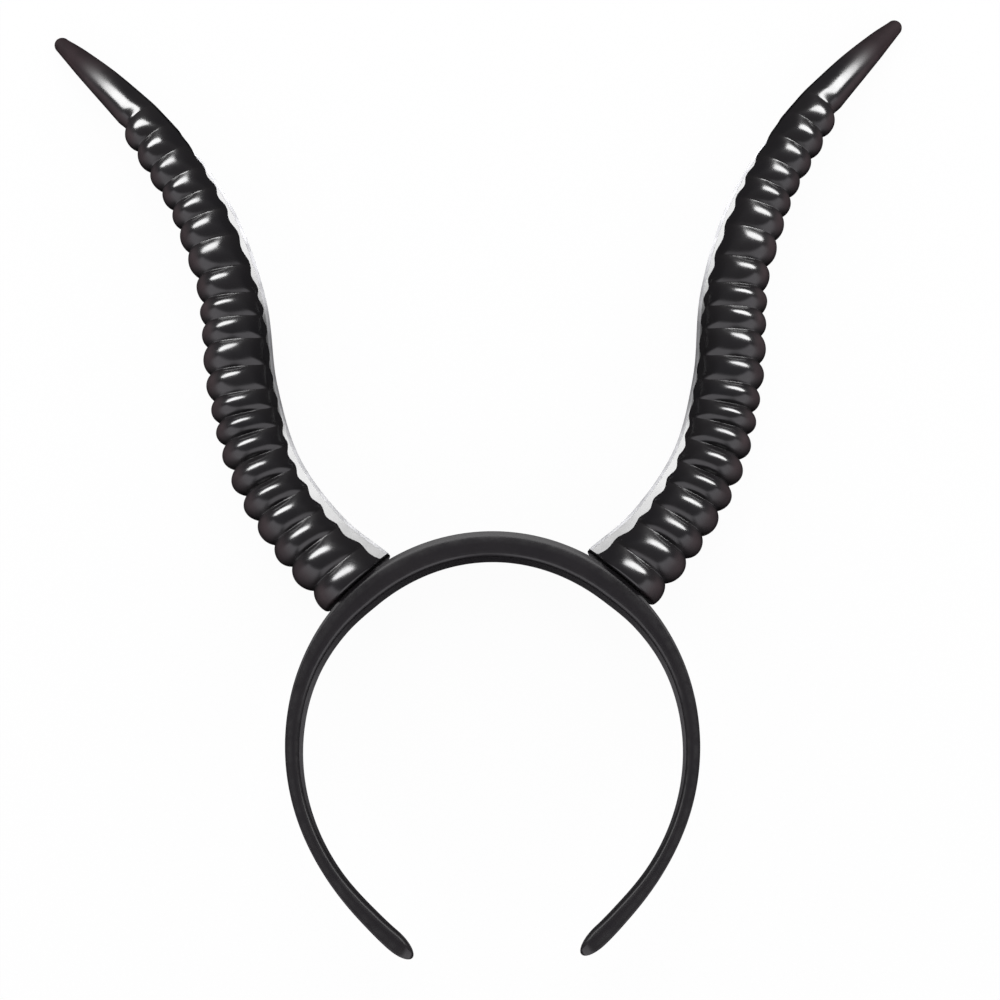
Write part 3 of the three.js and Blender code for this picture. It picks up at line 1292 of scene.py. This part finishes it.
@dataclass(frozen=True)
class Window:
    """Soft edged oblong of light in the room, as if in a far wall that squarely faces the piece.

    Half sizes are shares of the wall's distance. The facing span fades out directions that hardly
    look at the wall.
    """

    azimuth: float
    elevation: float
    half: Span
    soft: float
    brightness: float
    facing: Span = (0.02, 0.10)

    def socket(self, pen: NodePen, direction: Socket) -> Socket:
        """Write the oblong: a direction meets the wall at its cross parts divided by its depth part.

        Args:
            pen: Pen of the room's tree.
            direction: The direction that is looked in.

        Returns:
            The window's light in that direction.
        """
        turn = np.radians(self.azimuth)
        across = np.array([np.cos(turn), -np.sin(turn), 0])
        away = bearing(self.azimuth, self.elevation)
        depth = pen.dot(direction, away)
        light = pen.remap(depth, self.facing, (0.0, self.brightness))
        for cross, half in zip((across, np.cross(across, away)), self.half):
            offset = pen.math("ABSOLUTE", pen.math("DIVIDE", pen.dot(direction, cross), depth))
            span = (half * (1 - self.soft), half * (1 + self.soft))
            light = pen.math("MULTIPLY", light, pen.remap(offset, span, (1.0, 0.0), smooth=True))
        return light


@dataclass(frozen=True)
class Studio:
    """Pale sweep of paper, a dim room with four windows, flagged soft lights and the camera.

    The sweep and the lights are in metres. The camera's place is in millimetres, beside the loop's
    centre and above the floor.
    """

    sweep_flat: float = 1.8
    sweep_round: float = 2.2
    sweep_top: float = 5.0
    sweep_columns: int = 96
    sweep_rows: int = 16
    camera_offset: Span = (3.856, 73.06)
    camera_height: float = 700.0
    camera_roll: float = -1.2
    lens: float = 78.84
    sensor: float = 36.0
    nearest: float = 10.0
    room_glow: float = 0.10
    room_tint: Colour = (0.98, 0.95, 1.0)
    room_dark: Span = (-0.80, -0.45)
    windows: tuple[Window, ...] = (
        Window(140.0, 18.0, (0.66, 0.52), 0.30, 1.4),
        Window(-140.0, 18.0, (0.66, 0.52), 0.30, 1.4),
        Window(0.0, 90.0, (1.5, 1.5), 0.40, 0.10),
        Window(180.0, -82.0, (0.22, 0.055), 0.45, 0.18),
    )
    boxes: tuple[Softbox, ...] = (
        Softbox(Lit.LEFT, (-0.07, 0.06, 0.02), -33.0, 46.0, 2.5, (3.2, 1.25), 21.0, -10.0, Face.OVAL),
        Softbox(Lit.RIGHT, (0.07, 0.06, 0.02), 33.0, 46.0, 2.5, (3.2, 1.25), 21.0, 10.0, Face.OVAL),
        Softbox(Lit.BAND, (0.0, -0.08, 0.02), 0.0, 38.0, 2.5, (2.0, 2.4), 3.0),
        Softbox(Lit.BAND, (-0.05, -0.12, 0.02), 56.0, 18.0, 1.0, (0.65, 0.45), 2.6),
        Softbox(Lit.BAND, (0.05, -0.12, 0.02), -56.0, 18.0, 1.0, (0.65, 0.45), 2.6),
        Softbox(Lit.LEDGES, (-0.06, 0.03, 0.02), 50.0, 15.5, 0.6, (0.60, 0.38), 17.0),
        Softbox(Lit.LEDGES, (0.06, 0.03, 0.02), -50.0, 15.5, 0.6, (0.60, 0.38), 17.0),
    )

    def build_floor(self, finish: FloorPaper) -> bpy.types.Object:
        """Lay the paper: level at height 0 round the piece, then swept up into a wall all round.

        Only the camera sees it, so that the gloss reflects the room and not the paper.

        Args:
            finish: The paper.

        Returns:
            The floor.
        """
        bend = np.linspace(0, QUARTER_TURN, self.sweep_rows)
        swept = self.sweep_flat + self.sweep_round * np.sin(bend)
        radius = np.concatenate([[self.sweep_flat / 2], swept, swept[-1:]])
        height = np.concatenate([[0], self.sweep_round * (1 - np.cos(bend)), [self.sweep_top]])
        turn = np.linspace(0, FULL_TURN, self.sweep_columns, endpoint=False)
        x, y = radius[:, None] * np.cos(turn), radius[:, None] * np.sin(turn)
        points = np.stack([x, y, np.broadcast_to(height[:, None], x.shape)], -1).reshape(-1, 3)
        quads = ring_quads(len(radius), self.sweep_columns)[:, ::-1]
        mesh = smooth_mesh("floor", points, [list(range(self.sweep_columns)), *quads.tolist()])
        mesh.materials.append(finish.material())
        floor = bpy.data.objects.new("floor", mesh)
        floor.visible_diffuse = False
        floor.visible_glossy = False
        floor.visible_shadow = False
        bpy.context.scene.collection.objects.link(floor)
        return floor

    def build_room(self) -> None:
        """Light the room: the sum of its windows and a dim glow that fades out below."""
        world = bpy.data.worlds.new("room")
        world.use_nodes = True
        pen = NodePen(world.node_tree)
        direction = pen.node("ShaderNodeTexCoord").outputs["Generated"]
        total = pen.remap(pen.dot(direction, UP), self.room_dark, (0.0, self.room_glow), smooth=True)
        for window in self.windows:
            total = pen.math("ADD", total, window.socket(pen, direction))
        background = world.node_tree.nodes["Background"]
        pen.link(total, background, "Strength")
        background.inputs["Color"].default_value = (*self.room_tint, 1)
        bpy.context.scene.world = world

    def build_camera(self, lie: Lie) -> bpy.types.Object:
        """Hang the camera straight above, level with the floor and turned a little about its axis.

        Args:
            lie: Where the loop lies; the camera's place is given from its centre.

        Returns:
            The camera.
        """
        camera = bpy.data.objects.new("camera", bpy.data.cameras.new("camera"))
        x, y = self.camera_offset
        camera.location = (lie.centre[0] + x * MM, lie.centre[1] + y * MM, self.camera_height * MM)
        camera.rotation_euler = (0, 0, np.radians(self.camera_roll))
        camera.data.lens = self.lens
        camera.data.sensor_width = self.sensor
        camera.data.clip_start = self.nearest * MM
        bpy.context.scene.collection.objects.link(camera)
        bpy.context.scene.camera = camera
        return camera

    def build(self, lie: Lie, groups: dict[Lit, list[bpy.types.Object]]) -> None:
        """Build floor, room, lights and camera, and show light as it falls.

        Args:
            lie: Where the loop lies.
            groups: The pieces that each kind of light is for.
        """
        floor = self.build_floor(FloorPaper())
        self.build_room()
        for lit, pieces in groups.items():
            only = bpy.data.collections.new(lit.value)
            for piece in pieces + [floor] * (lit is Lit.BAND):
                only.objects.link(piece)
            for box in self.boxes:
                if box.lit is lit:
                    box.build(only)
        self.build_camera(lie)
        bpy.context.scene.view_settings.view_transform = "Standard"


def main() -> None:
    logging.basicConfig(level=logging.INFO, format="%(name)s: %(message)s")
    band = Band()
    lie = Lie.from_frame(band, LIE_TILT)
    log.info("loop centre %s", np.round(lie.centre / MM, 3))
    gloss = HornGloss().material()
    pale = LedgeGloss().material()
    groups = {Lit.BAND: [band.build(lie, BandSatin())], Lit.LEDGES: []}
    for side in Side:
        seat = Seat(side, band.seat_radius(Seat.angle))
        horn = Horn(seat)
        groups[Lit[side.name]] = [horn.build(lie, gloss)]
        ledge = Ledge(f"{horn.node}_ledge", seat)
        groups[Lit.LEDGES].append(ledge.build(lie, pale))
    for lit, pieces in groups.items():
        for piece in pieces:
            faces = len(piece.data.polygons)
            log.info("%s: %d faces, in the light for the %s", piece.name, faces, lit.value)
    Studio().build(lie, groups)


if __name__ == "__main__":
    main()
